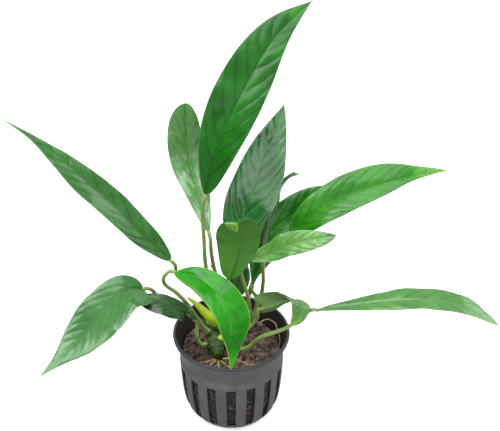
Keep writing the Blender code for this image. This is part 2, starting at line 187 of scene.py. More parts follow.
def slotted_wall(steps=4, slot_cells=3, rib_cells=5):
    """The pot's wall as two turned skins, outer and inner, joined along the lip and round every
    slot: cells in a slot's columns and rows are left out and their borders walled across."""
    outer = hermite(POT_LINE, np.arange((len(POT_LINE) - 1) * steps + 1) / steps)
    d = np.gradient(outer, axis=0)
    inner = outer + WALL * unit(np.stack([d[:, 1], -d[:, 0]], axis=-1))
    inner[:, 1] = np.maximum(inner[:, 1], WALL)
    inner[0] = (outer[0, 0] - 1.15 * WALL, outer[0, 1])
    first, last = SLOT_TOP * steps, SLOT_FOOT * steps
    half = SLOT_HALF / outer[first, 0]
    pitch = 2 * math.pi / SLOTS
    one = np.concatenate([np.linspace(-half, half, slot_cells + 1)[:-1],
                          np.linspace(half, pitch - half, rib_cells + 1)[:-1]])
    a = (-math.pi / 2 + pitch * np.arange(SLOTS)[:, None] + one[None]).ravel()
    per, n, rows = len(one), len(a), len(outer)
    lip = np.stack([outer[0, 0] - WALL * np.array([0.2, 0.57, 0.95]),
                    outer[0, 1] + WALL * np.array([0.13, 0.17, 0.13])], axis=-1)
    rings = np.concatenate([outer[::-1], lip, inner])
    rings = np.concatenate([[[0.0, 0.0]], rings, [[0.0, WALL]]])
    verts = np.stack([rings[:, :1] * np.cos(a), rings[:, :1] * np.sin(a),
                      np.repeat(rings[:, 1:], n, axis=1)], axis=-1)
    m = len(rings)
    idx = np.arange(m * n).reshape(m, n)
    idx[0] = idx[0, 0]
    idx[-1] = idx[-1, 0]
    right = np.roll(idx, -1, axis=1)
    quads = np.stack([idx[:-1], right[:-1], right[1:], idx[1:]], axis=-1)
    in_slot = np.arange(n) % per < slot_cells
    row = np.arange(m - 1)
    top_out, low_out = rows - first, rows - last
    top_in, low_in = 1 + rows + len(lip) + first, 1 + rows + len(lip) + last
    rows_open = ((row >= low_out) & (row < top_out)) | ((row >= top_in) & (row < low_in))
    keep = ~(rows_open[:, None] & in_slot[None])
    faces = [tuple(dict.fromkeys(q)) for q in quads[keep].tolist()]
    # walls through the plastic at each slot's two sides, then at its head and foot
    for s in range(SLOTS):
        left, past = s * per, s * per + slot_cells
        for k in range(last - first):
            o, i = top_out - k, top_in + k
            faces.append((idx[o, left], idx[i, left], idx[i + 1, left], idx[o - 1, left]))
            faces.append((idx[o - 1, past], idx[i + 1, past], idx[i, past], idx[o, past]))
        for j in range(left, past):
            faces.append((idx[top_out, j + 1], idx[top_in, j + 1], idx[top_in, j],
                          idx[top_out, j]))
            faces.append((idx[low_out, j], idx[low_in, j], idx[low_in, j + 1],
                          idx[low_out, j + 1]))
    return verts, faces


def clean(obj):
    """Removes points that no face uses and turns the faces outwards."""
    bm = bmesh.new()
    bm.from_mesh(obj.data)
    loose = [v for v in bm.verts if not v.link_faces]
    bmesh.ops.delete(bm, geom=loose, context="VERTS")
    bmesh.ops.recalc_face_normals(bm, faces=bm.faces)
    if bm.calc_volume(signed=True) < 0:
        bmesh.ops.reverse_faces(bm, faces=bm.faces)
    bm.to_mesh(obj.data)
    bm.free()
    return obj


pot = clean(shape_object("net_pot", *slotted_wall(), sharp=45))
edge = pot.modifiers.new("soft_edges", "BEVEL")
edge.width = 0.22 * MM
edge.segments = 2
edge.limit_method = "ANGLE"
edge.angle_limit = math.radians(50)


def grain_group():
    """Shader group: fine grain with soft blotches.  Height is a fine noise; Mask is the broad
    blotches, 0 to 1."""
    group = bpy.data.node_groups.new("grain", "ShaderNodeTree")
    group.interface.new_socket("Fine Scale", in_out="INPUT", socket_type="NodeSocketFloat")
    group.interface.new_socket("Blotch Scale", in_out="INPUT", socket_type="NodeSocketFloat")
    group.interface.new_socket("Height", in_out="OUTPUT", socket_type="NodeSocketFloat")
    group.interface.new_socket("Mask", in_out="OUTPUT", socket_type="NodeSocketFloat")
    a = wire(group, "NodeGroupInput", -700, 0)
    z = wire(group, "NodeGroupOutput", 300, 0)
    where = wire(group, "ShaderNodeTexCoord", -700, -200)
    fine = wire(group, "ShaderNodeTexNoise", -400, 150)
    fine.inputs["Detail"].default_value = 3.0
    slow = wire(group, "ShaderNodeTexNoise", -400, -150)
    slow.inputs["Detail"].default_value = 4.0
    slow.inputs["Roughness"].default_value = 0.6
    spread = wire(group, "ShaderNodeMapRange", -100, -150)
    spread.inputs["From Min"].default_value = 0.35
    spread.inputs["From Max"].default_value = 0.65
    for tex, socket in ((fine, "Fine Scale"), (slow, "Blotch Scale")):
        group.links.new(where.outputs["Object"], tex.inputs["Vector"])
        group.links.new(a.outputs[socket], tex.inputs["Scale"])
    group.links.new(fine.outputs["Fac"], z.inputs["Height"])
    group.links.new(slow.outputs["Fac"], spread.inputs["Value"])
    group.links.new(spread.outputs["Result"], z.inputs["Mask"])
    return group


GRAIN = grain_group()


def add_grain(tree, fine, blotch):
    """The grain group placed in a material, with the scales of its grain and its blotches."""
    node = wire(tree, "ShaderNodeGroup", -900, 0, node_tree=GRAIN)
    node.inputs["Fine Scale"].default_value = fine
    node.inputs["Blotch Scale"].default_value = blotch
    return node


def blend(tree, factor, a, b, x=-500, y=200):
    """Colour mix of a and b, each a colour or an output, by an output."""
    node = wire(tree, "ShaderNodeMix", x, y, data_type="RGBA")
    tree.links.new(factor, node.inputs["Factor"])
    for socket, value in ((node.inputs[6], a), (node.inputs[7], b)):
        if isinstance(value, tuple):
            socket.default_value = (*value, 1.0)
        else:
            tree.links.new(value, socket)
    return node.outputs[2]


def span(tree, value, low, high, at_low=0.0, at_high=1.0, x=-300, y=-200):
    """Map Range of an output from low..high to at_low..at_high."""
    node = wire(tree, "ShaderNodeMapRange", x, y)
    for socket, number in (("From Min", low), ("From Max", high), ("To Min", at_low),
                           ("To Max", at_high)):
        node.inputs[socket].default_value = number
    tree.links.new(value, node.inputs["Value"])
    return node.outputs["Result"]


def raise_bump(tree, shader, height, distance, strength):
    """Bump from a height output; distance is the relief in metres."""
    node = wire(tree, "ShaderNodeBump", -200, -400)
    node.inputs["Distance"].default_value = distance
    node.inputs["Strength"].default_value = strength
    tree.links.new(height, node.inputs["Height"])
    tree.links.new(node.outputs[0], shader.inputs["Normal"])


# dark grey, with painted shade where the wall faces inwards and round the lip
mat, tree, shader = new_material("pot_plastic", Specular_IOR_Level=0.5)
g = add_grain(tree, 3500.0, 120.0)
grey = blend(tree, g.outputs["Mask"], (0.085, 0.085, 0.086), (0.125, 0.124, 0.125))
spot = wire(tree, "ShaderNodeTexCoord", -1300, 500)
facing = wire(tree, "ShaderNodeNewGeometry", -1300, 300)
flat = wire(tree, "ShaderNodeVectorMath", -1100, 500, operation="MULTIPLY")
flat.inputs[1].default_value = (1.0, 1.0, 0.0)
outward = wire(tree, "ShaderNodeVectorMath", -900, 500, operation="DOT_PRODUCT")
tree.links.new(spot.outputs["Object"], flat.inputs[0])
tree.links.new(flat.outputs["Vector"], outward.inputs[0])
tree.links.new(facing.outputs["Normal"], outward.inputs[1])
# painted shade: the plastic darkened where the wall faces inwards, for the shade inside the pot
inward_painted_shade = span(tree, outward.outputs["Value"], -0.004, 0.004, 0.9, 0.0)
grey = blend(tree, inward_painted_shade, grey, (0.014, 0.013, 0.013), x=-350)
height = wire(tree, "ShaderNodeSeparateXYZ", -1100, 700)
tree.links.new(spot.outputs["Object"], height.inputs[0])
# painted shade: the plastic darkened round the lip
lip = span(tree, height.outputs["Z"], POT_H - 1.6 * MM, POT_H - 0.9 * MM, 0, 0.75)
tree.links.new(blend(tree, lip, grey, (0.03, 0.03, 0.031), x=-200), shader.inputs["Base Color"])
tree.links.new(span(tree, g.outputs["Mask"], 0, 1, 0.30, 0.42), shader.inputs["Roughness"])
raise_bump(tree, shader, g.outputs["Height"], 0.00004, 0.5)
pot.data.materials.append(mat)
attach(pot, "root")
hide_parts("pot")


# ---------------------------------------------------------------------------- soil
# Dark moist peat: crumbs of many sizes, with strings of coir and moss through it, packed into
# the pot and showing in the slots.  Its top is uneven and lies below the lip.
SOIL_Z = 38.0 * MM
SOIL_GAP = 0.35 * MM
chance = np.random.default_rng(11)


def lattice_noise(P, size, seed):
    """Value noise from -1 to 1: a number hashed from each corner of a cubic lattice of the given
    size, mixed between corners with a smooth step."""
    q = P / size
    i = np.floor(q).astype(np.int64)
    f = q - i
    f = f * f * (3 - 2 * f)
    total = 0.0
    for corner in range(8):
        c = np.array([corner & 1, corner >> 1 & 1, corner >> 2 & 1])
        k = i + c
        h = (k[..., 0] * 73856093) ^ (k[..., 1] * 19349663) ^ (k[..., 2] * 83492791) ^ (
            seed * 2654435761)
        h = ((h ^ (h >> 13)) * 1274126177) & 0xFFFFFFFF
        h = (h ^ (h >> 16)) & 0xFFFF
        total = total + np.prod(np.where(c == 1, f, 1 - f), axis=-1) * (h / 32767.5 - 1)
    return total


def soil_height(x, y):
    """Height of the soil's top: two sizes of lumps over a low mound."""
    P = np.stack([x, y, np.zeros_like(x)], axis=-1)
    mound = 0.6 * MM * np.exp(-((x - 2 * MM) ** 2 + (y - 4 * MM) ** 2) / (14 * MM) ** 2)
    return (SOIL_Z + mound + 1.3 * MM * lattice_noise(P, 7.5 * MM, 3)
            + 0.8 * MM * lattice_noise(P, 2.8 * MM, 4) - 0.4 * MM)


def soil_bed(around=288, rings=90):
    """A turned side that follows the pot's inside, and a top of rings that dips at the wall;
    every point is pushed along its normal by lumps of three sizes."""
    line = hermite(POT_LINE, np.linspace(3.2, 14, 110))
    d = np.gradient(line, axis=0)
    side = line + (WALL + SOIL_GAP) * unit(np.stack([d[:, 1], -d[:, 0]], axis=-1))
    side[:, 1] = np.maximum(side[:, 1], WALL + SOIL_GAP)
    side = side[side[:, 1] < SOIL_Z - 0.4 * MM]
    a = np.arange(around) * 2 * math.pi / around
    reach = np.concatenate([side[0, 0] * np.linspace(1, 0.003, rings)[::-1], side[:, 0]])
    X, Y = np.outer(reach, np.cos(a)), np.outer(reach, np.sin(a))
    Z = np.concatenate([np.zeros((rings, around)), np.repeat(side[:, 1:], around, axis=1)])
    Z[:rings] = soil_height(X[:rings], Y[:rings])
    fade = np.clip((np.hypot(X[:rings], Y[:rings]) / side[0, 0] - 0.93) / 0.07, 0, 1)
    Z[:rings] = Z[:rings] * (1 - fade) + (SOIL_Z - 0.6 * MM) * fade
    P = np.stack([X, Y, Z], axis=-1)
    N = unit(np.cross(np.gradient(P, axis=0), np.roll(P, -1, axis=1) - np.roll(P, 1, axis=1)))
    lumps = (0.45 * lattice_noise(P, 1.7 * MM, 5) + 0.30 * lattice_noise(P, 0.8 * MM, 6)
             + 0.16 * lattice_noise(P, 0.4 * MM, 7)) * MM
    push = np.where(np.arange(len(P))[:, None] < rings, 1.0, 0.8)
    P = P + N * (lumps * push - 0.1 * MM)[..., None]
    idx = np.arange(len(P) * around).reshape(-1, around)
    right = np.roll(idx, -1, axis=1)
    quads = np.stack([idx[:-1], idx[1:], right[1:], right[:-1]], axis=-1).reshape(-1, 4)
    faces = quads.tolist() + [idx[0].tolist(), idx[-1][::-1].tolist()]
    return P, faces


bed = clean(shape_object("soil_bed", *soil_bed()))

# blotched brown with tan bits, with painted shade darkening it down in the pot
SOIL_MAT, tree, shader = new_material("soil_peat", Specular_IOR_Level=0.35)
g = add_grain(tree, 2600.0, 260.0)
speck = wire(tree, "ShaderNodeTexVoronoi", -900, -300)
speck.inputs["Scale"].default_value = 900.0
where = wire(tree, "ShaderNodeTexCoord", -1100, -300)
tree.links.new(where.outputs["Object"], speck.inputs["Vector"])
brown = blend(tree, g.outputs["Mask"], (0.018, 0.011, 0.009), (0.30, 0.20, 0.155))
height = wire(tree, "ShaderNodeSeparateXYZ", -900, -500)
tree.links.new(where.outputs["Object"], height.inputs[0])
# painted shade: the soil darkened below its top, where it lies in the pot's shade and shows in the
# slots
deep = span(tree, height.outputs["Z"], SOIL_Z - 8 * MM, SOIL_Z - 4 * MM, 0.85, 0.0, y=-500)
bits = wire(tree, "ShaderNodeSeparateColor", -700, -300)
tree.links.new(speck.outputs["Color"], bits.inputs[0])
tan = span(tree, bits.outputs[0], 0.86, 0.95, 0.0, 0.7)
earth = blend(tree, tan, brown, (0.30, 0.20, 0.145), x=-350)
tree.links.new(blend(tree, deep, earth, (0.012, 0.011, 0.011), x=-200), shader.inputs["Base Color"])
tree.links.new(span(tree, g.outputs["Mask"], 0, 1, 0.72, 0.95, y=-50), shader.inputs["Roughness"])
raise_bump(tree, shader, g.outputs["Height"], 0.0003, 0.9)
bed.data.materials.append(SOIL_MAT)


def ball():
    """Points and triangles of an icosahedron."""
    bm = bmesh.new()
    bmesh.ops.create_icosphere(bm, subdivisions=1, radius=1.0)
    v = np.array([x.co for x in bm.verts])
    f = np.array([[x.index for x in face.verts] for face in bm.faces])
    bm.free()
    return v, f


def scatter_lumps(name, centres, sizes, seed):
    """One mesh of small closed lumps: an icosahedron each, squashed, turned and dented at
    random, all worked out as one array."""
    rng = np.random.default_rng(seed)
    v, f = ball()
    k = len(centres)
    turned = np.linalg.qr(rng.normal(size=(k, 3, 3)))[0]
    stretch = rng.uniform(0.6, 1.25, (k, 3))
    dents = rng.uniform(0.75, 1.2, (k, len(v), 1))
    P = (v[None] * dents * stretch[:, None]) @ turned * sizes[:, None, None] + centres[:, None]
    faces = (f[None] + (np.arange(k) * len(v))[:, None, None]).reshape(-1, 3)
    return clean(shape_object(name, P, faces.tolist()))


# loose crumbs on top, most of them small
CRUMB_REACH = 22.2 * MM
k = 900
r = CRUMB_REACH * np.sqrt(chance.uniform(0, 1, k))
t = chance.uniform(0, 2 * math.pi, k)
centres = np.stack([r * np.cos(t), r * np.sin(t), np.zeros(k)], axis=-1)
centres[:, 2] = soil_height(centres[:, 0], centres[:, 1]) + 0.15 * MM
sizes = MM * (0.25 + 1.15 * chance.uniform(0, 1, k) ** 3)
crumbs = scatter_lumps("soil_crumbs", centres, sizes, 5)
crumbs.data.materials.append(SOIL_MAT)


def strands(name, paths, radii, sides=5):
    """Thin closed tubes, one for each row of points in paths (strand, point, xyz); a ring of
    sides points stands square to each strand at every point, and the ends are capped."""
    P = np.asarray(paths)
    k, m = P.shape[:2]
    T = unit(np.gradient(P, axis=1))
    hint = np.where(np.abs(T[..., 2:]) > 0.9, [1.0, 0, 0], [0, 0, 1.0])
    A = unit(np.cross(T, hint))
    B = np.cross(T, A)
    ang = np.arange(sides) * 2 * math.pi / sides
    R = np.broadcast_to(np.asarray(radii), (k, m))[..., None, None]
    ring = P[:, :, None] + R * (np.cos(ang)[:, None] * A[:, :, None]
                                + np.sin(ang)[:, None] * B[:, :, None])
    idx = np.arange(k * m * sides).reshape(k, m, sides)
    right = np.roll(idx, -1, axis=2)
    q = np.stack([idx[:, :-1], right[:, :-1], right[:, 1:], idx[:, 1:]], axis=-1).reshape(-1, 4)
    faces = q.tolist() + idx[:, 0, ::-1].tolist() + idx[:, -1].tolist()
    return shape_object(name, ring, faces)


def curled(start, heading, length, bend, points, rng):
    """Random walks on the flat: each strand starts at a point and turns a little at every step."""
    k = len(start)
    turn = rng.normal(0, bend, (k, points)).cumsum(axis=1) + heading[:, None]
    step = (length / (points - 1))[:, None, None]
    walk = np.stack([np.cos(turn), np.sin(turn)], axis=-1) * step
    return start[:, None] + np.concatenate([np.zeros((k, 1, 2)), walk[:, 1:].cumsum(axis=1)],
                                           axis=1)


# coir and moss that lie over the top
FIBRE_REACH, FIBRE_LIMIT = 20.5 * MM, 22.3 * MM
k = 170
r = FIBRE_REACH * np.sqrt(chance.uniform(0, 1, k))
t = chance.uniform(0, 2 * math.pi, k)
start = np.stack([r * np.cos(t), r * np.sin(t)], axis=-1)
xy = curled(start, chance.uniform(0, 2 * math.pi, k), chance.uniform(2, 7, k) * MM, 0.35, 9,
            chance)
xy *= np.minimum(1, FIBRE_LIMIT / np.maximum(np.linalg.norm(xy, axis=-1, keepdims=True), 1e-6))
rise = chance.uniform(0.1, 0.7, (k, 1)) * MM * np.sin(np.linspace(0, math.pi, 9))[None]
paths = np.concatenate([xy, (soil_height(xy[..., 0], xy[..., 1]) + rise)[..., None]], axis=-1)
fibres = strands("soil_fibres", paths, chance.uniform(0.07, 0.17, (k, 1)) * MM)


def two_tone(name, fine, blotch, dark, light, relief=None, **constants):
    """A grained material blotched in two colours; relief is its bump's distance and strength."""
    mat, tree, shader = new_material(name, **constants)
    g = add_grain(tree, fine, blotch)
    tree.links.new(blend(tree, g.outputs["Mask"], dark, light), shader.inputs["Base Color"])
    if relief:
        raise_bump(tree, shader, g.outputs["Height"], *relief)
    return mat


FIBRE_MAT = two_tone("soil_fibre", 1800.0, 300.0, (0.08, 0.065, 0.055), (0.26, 0.22, 0.19),
                     Roughness=0.85, Specular_IOR_Level=0.3)
fibres.data.materials.append(FIBRE_MAT)

# short bowed fibres that show in the slots: each keeps to its own slot's angle
SLOT_ANGLE = 0.075
k = 260
slot = chance.integers(0, SLOTS, k)
middle = -math.pi / 2 + slot * 2 * math.pi / SLOTS
z = chance.uniform(3.5, 29.5, k) * MM
ang = middle + chance.uniform(-0.07, 0.07, k)
rad = np.interp(z, POT_LINE[::-1, 1], POT_LINE[::-1, 0]) - 1.0 * MM
slope = chance.uniform(0, 2 * math.pi, k)
run = (np.linspace(-0.5, 0.5, 7)[None] * chance.uniform(2, 5, k)[:, None]) * MM
bow = 0.35 * MM * np.cos(np.linspace(-1.5, 1.5, 7))[None]
ang = np.clip(ang[:, None] + np.cos(slope)[:, None] * run / rad[:, None],
              middle[:, None] - SLOT_ANGLE, middle[:, None] + SLOT_ANGLE)
z = np.clip(z[:, None] + np.sin(slope)[:, None] * run, 3 * MM, 30 * MM)
rad = np.interp(z, POT_LINE[::-1, 1], POT_LINE[::-1, 0]) - 1.45 * MM + bow
paths = np.stack([rad * np.cos(ang), rad * np.sin(ang), z], axis=-1)
slot_fibres = strands("slot_fibres", paths, chance.uniform(0.05, 0.13, (k, 1)) * MM)
slot_fibres.data.materials.append(FIBRE_MAT)
for piece in (bed, crumbs, fibres, slot_fibres):
    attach(piece, "root")
    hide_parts("soil")


# ---------------------------------------------------------------------------- rhizome
# The creeping stem, thick and dark green, with a pale ring wherever an old leaf was attached.
# It lies on the soil with its cut foot to the front, and every leaf grows from its upper side.
CROWN = np.array([0.0, 0.0, SOIL_Z])


def place(points):
    """Points in mm from the crown's foot on the soil, in metres."""
    return CROWN + np.asarray(points, float) * MM


def smooth_path(points, n):
    """n+1 evenly spaced points on a cubic Hermite curve through the given points, with the
    curve's own parameter growing with the distance between them."""
    P = np.array(points, float)
    t = np.concatenate([[0.0], np.cumsum(np.linalg.norm(np.diff(P, axis=0), axis=1))])
    s = np.linspace(0.0, t[-1], 16 * n + 1)
    i = np.clip(np.searchsorted(t, s, side="right") - 1, 0, len(t) - 2)
    h = (t[i + 1] - t[i])[:, None]
    C = cubic(P, np.gradient(P, t, axis=0), i, (s - t[i])[:, None] / h, h)
    run = np.concatenate([[0.0], np.cumsum(np.linalg.norm(np.diff(C, axis=0), axis=1))])
    at = np.linspace(0.0, run[-1], n + 1)
    return np.stack([np.interp(at, run, C[:, k]) for k in range(3)], axis=-1)


def carried_ring(path, radius, sides, section=None):
    """Ring of points square to a path at each of its points, counted from one fixed direction:
    radius times the section's outline, a function of angle and share of length.  Gives the grid
    (length, sides, xyz)."""
    T = unit(np.gradient(path, axis=0))
    hint = np.array([0.31, -0.87, 0.38])
    A = unit(hint - (T @ hint)[:, None] * T)
    B = np.cross(T, A)
    a = np.arange(sides) * 2 * math.pi / sides
    u = np.linspace(0, 1, len(path))[:, None]
    k = np.ones((len(path), sides)) if section is None else section(a[None], u)
    R = (np.asarray(radius)[:, None] * k)[..., None]
    return path[:, None] + R * (np.cos(a)[None, :, None] * A[:, None]
                                + np.sin(a)[None, :, None] * B[:, None])


def tube_faces(m, n):
    """Quads along a tube of m rings of n points, and its two end caps."""
    idx = np.arange(m * n).reshape(m, n)
    right = np.roll(idx, -1, axis=1)
    q = np.stack([idx[:-1], right[:-1], right[1:], idx[1:]], axis=-1).reshape(-1, 4)
    return q.tolist() + [idx[0, ::-1].tolist(), idx[-1].tolist()]


def domed(values, ends):
    """The radii drawn in to a rounded dome over the first and last share of the length."""
    u = np.linspace(0, 1, len(values))
    e = np.clip(np.minimum(u, 1 - u) / ends, 0, 1)
    return values * np.sqrt(np.clip(1 - (1 - e) ** 2, 0.0004, 1))


def put_attribute(obj, name, values):
    """A number at each point of a mesh, which its material reads by name."""
    layer = obj.data.attributes.new(name, "FLOAT", "POINT")
    layer.data.foreach_set("value", np.asarray(values, np.float32).ravel())


RHIZOME = place([(-6, -12.5, 3.4), (-7, -8, 5), (-8, -2, 6.5), (-6, 4, 7.5), (0, 8, 8), (7, 9, 8),
                 (12, 8, 7.5)])
RHIZOME_R = 4.0 * MM * np.array([0.6, 0.95, 1.0, 1.0, 0.98, 0.9, 0.55])
rows, sides = 220, 72
line = smooth_path(RHIZOME, rows)
u = np.linspace(0, 1, rows + 1)
r = domed(np.interp(u, np.linspace(0, 1, 7), RHIZOME_R), 0.05)
ridge = np.exp(-((u * 12 + 0.8 * np.sin(9 * u)) % 1 - 0.5) ** 2 / 0.02)
grid = carried_ring(line, r * (1 + 0.06 * ridge), sides)
lumpy = 1 + 0.14 * lattice_noise(grid, 2.8 * MM, 21) + 0.07 * lattice_noise(grid, 0.9 * MM, 22)
grid = line[:, None] + (grid - line[:, None]) * lumpy[..., None]
rhizome = shape_object("rhizome_stem", grid, tube_faces(rows + 1, sides))
put_attribute(rhizome, "ring", np.repeat(ridge, sides))
mat, tree, shader = new_material("rhizome_skin", Roughness=0.42, Specular_IOR_Level=0.45)
g = add_grain(tree, 1500.0, 330.0)
scar = wire(tree, "ShaderNodeAttribute", -900, 300, attribute_name="ring")
skin = blend(tree, g.outputs["Mask"], (0.004, 0.024, 0.001), (0.022, 0.085, 0.004))
tree.links.new(blend(tree, span(tree, scar.outputs["Fac"], 0.2, 1.0, 0, 0.55), skin,
                     (0.10, 0.16, 0.015), x=-200), shader.inputs["Base Color"])
raise_bump(tree, shader, g.outputs["Height"], 0.0001, 0.8)
rhizome.data.materials.append(mat)
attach(rhizome, "root")
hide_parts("rhizome")


def growing_point(station, roll, lift):
    """Point off the rhizome's skin and the way out of it: station 0 to 1 along it, roll in
    degrees, 0 up and 90 to its right."""
    path = smooth_path(RHIZOME, 60)
    T = unit(np.gradient(path, axis=0))
    up = np.array([0.0, 0.0, 1.0])
    A = unit(up - (T @ up)[:, None] * T)
    s = np.linspace(0, 1, 61)
    c, t, a = (np.array([np.interp(station, s, M[:, k]) for k in range(3)]) for M in (path, T, A))
    right = np.cross(unit(t), unit(a))
    rad = np.interp(station, np.linspace(0, 1, 7), RHIZOME_R)
    roll = math.radians(roll)
    out = math.cos(roll) * unit(a) + math.sin(roll) * right
    return c + (rad * 1.04 + lift) * out, out


# ---------------------------------------------------------------------------- roots
# Thin tan roots, each a little crooked, that leave the rhizome's foot and sides and go down into
# the peat, one of them along the inside of the pot.
ROOTS = {
    "left_a": [(-10.6, 2.6, 3.4), (-12.4, 0.8, 2.6), (-13.4, -2.2, 1.0)],
    "left_b": [(-12.6, 4.6, 2.8), (-14.6, 2.6, 2.2), (-15.4, 0.2, 0.8)],
    "foot_a": [(-7.4, -12.6, 2.6), (-10, -14, 2.6), (-13, -14.6, 2.0), (-17, -12.8, 1.0)],
    "foot_b": [(-7.0, -13.0, 2.4), (-11, -17, 1.9), (-14.6, -16.4, 0.9)],
    "foot_c": [(-6, -13.2, 2.4), (-6.2, -18.4, 1.9), (-8.6, -20, 0.9)],
    "foot_d": [(-5, -13.2, 2.4), (-1, -17.6, 2.0), (4, -19, 0.9)],
    "foot_e": [(-4.2, -12.4, 2.8), (3, -14, 3.2), (9, -15.4, 0.9)],
    "wall": [(12.6, 8.6, 6.8), (17.4, 11.6, 6.8), (21.0, 8.6, 6.0), (22.8, 3.0, 4.4),
             (22.9, -1.6, 1.2)],
}
ROOT_R = 0.29 * MM
ROOT_MAT = two_tone("root_skin", 1500.0, 420.0, (0.26, 0.18, 0.07), (0.58, 0.46, 0.22),
                    (0.00008, 0.7), Roughness=0.55, Specular_IOR_Level=0.4)
rows, sides = 60, 12
for number, (name, points) in enumerate(ROOTS.items()):
    path = smooth_path(place(points), rows)
    wobble = np.stack([lattice_noise(path, 2.2 * MM, 30 + number + 9 * k) for k in range(3)], -1)
    path = path + wobble * 0.35 * MM
    rad = ROOT_R * np.linspace(1.15, 0.6, rows + 1) * (1 + 0.15 * lattice_noise(path, MM, 80))
    root = shape_object("root_" + name + "_fine", carried_ring(path, domed(rad, 0.03), sides),
                        tube_faces(rows + 1, sides))
    root.data.materials.append(ROOT_MAT)
    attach(root, "root")
    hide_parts("root_" + name)


# ---------------------------------------------------------------------------- shoot and bud
# The next leaf, still rolled inside a yellow-green sheath that tapers to a soft point, a small
# bud of the same colour low on the rhizome, and the withered brown sheath of an older leaf.
SHOOT_MAT, tree, shader = new_material("shoot_skin", Specular_IOR_Level=0.5, Coat_Weight=0.25,
                                       Coat_Roughness=0.2)
g = add_grain(tree, 900.0, 160.0)
along = wire(tree, "ShaderNodeAttribute", -900, 300, attribute_name="along")
lime = blend(tree, span(tree, along.outputs["Fac"], 0.0, 0.35), (0.05, 0.26, 0.004),
             (0.56, 0.74, 0.02))
tip = blend(tree, span(tree, along.outputs["Fac"], 0.35, 0.95), lime, (0.40, 0.52, 0.03), x=-350)
tree.links.new(tip, shader.inputs["Base Color"])
tree.links.new(span(tree, g.outputs["Mask"], 0, 1, 0.3, 0.42), shader.inputs["Roughness"])
raise_bump(tree, shader, g.outputs["Height"], 0.00006, 0.6)


def sheath(name, points, radii, material=SHOOT_MAT, rows=90, sides=36):
    """A rolled sheath: a tube whose outline steps in along one side, where the roll ends."""
    path = smooth_path(points, rows)
    share = np.linspace(0, 1, rows + 1)
    rad = domed(np.interp(share, np.linspace(0, 1, len(radii)), radii), 0.04)

    def outline(a, u):
        return 1 + 0.10 * ((a / (2 * math.pi) + 0.15 + 0.1 * u) % 1) - 0.05
    obj = shape_object(name, carried_ring(path, rad, sides, outline),
                       tube_faces(rows + 1, sides))
    put_attribute(obj, "along", np.repeat(share, sides))
    obj.data.materials.append(material)
    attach(obj, "root")
    return obj


base, out = growing_point(0.44, -8, -0.8 * MM)
shoot = sheath("young_shoot", [base, base + out * 2.5 * MM,
                               *place([(-11.8, 2.2, 18), (-16, 2.5, 23), (-20.5, 3, 27)])],
               np.array([2.7, 2.5, 1.9, 1.2, 0.45]) * MM)
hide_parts("shoot")
base, out = growing_point(0.22, 40, -0.8 * MM)
bud = sheath("side_bud", [base, base + out * 2.0 * MM, base + out * 3.2 * MM],
             np.array([1.5, 1.4, 0.6]) * MM, rows=40)
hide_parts("bud")

mat = two_tone("sheath_skin", 1300.0, 300.0, (0.10, 0.10, 0.03), (0.34, 0.28, 0.10),
               (0.00012, 0.8), Roughness=0.62, Specular_IOR_Level=0.35)
base, out = growing_point(0.64, -75, -0.7 * MM)
husk = sheath("old_sheath_fine", [base, base + out * 2 * MM,
                                  *place([(-4.6, 12.2, 24), (-7.6, 11.3, 35.5), (-9.8, 11, 40.3)])],
              np.array([1.1, 1.0, 0.9, 0.75, 0.25]) * MM, material=mat)
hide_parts("old_sheath")


# ---------------------------------------------------------------------------- leaf stalks
# Firm green stalks, round with a shallow channel along the upper side.  Each rises from the
# rhizome in a short open sheath and ends in a slightly thicker, paler joint under its blade.
class Leaf:
    """One leaf's shape in mm from the crown's foot: where it grows (station and roll on the
    rhizome), the stalk's points, the midrib's points, half widths left and right of the midrib
    seen from above looking to the tip, and where the upper side faces from base to tip.  belly is
    the share of the length at which a half is widest and taper how steeply it narrows from there;
    fold is the angle of the halves at base and tip in degrees; lobe is how far the base reaches
    back, and tail how much of the width a drawn-out tip loses."""

    def __init__(self, name, grows, stalk, rib, half, face, belly=0.40, taper=1.7, fold=(20, 8),
                 lobe=1.5, tail=0.0):
        self.name, self.grows, self.stalk, self.rib = name, grows, stalk, rib
        self.half, self.face, self.belly, self.taper = half, face, belly, taper
        self.fold, self.lobe, self.tail = fold, lobe, tail


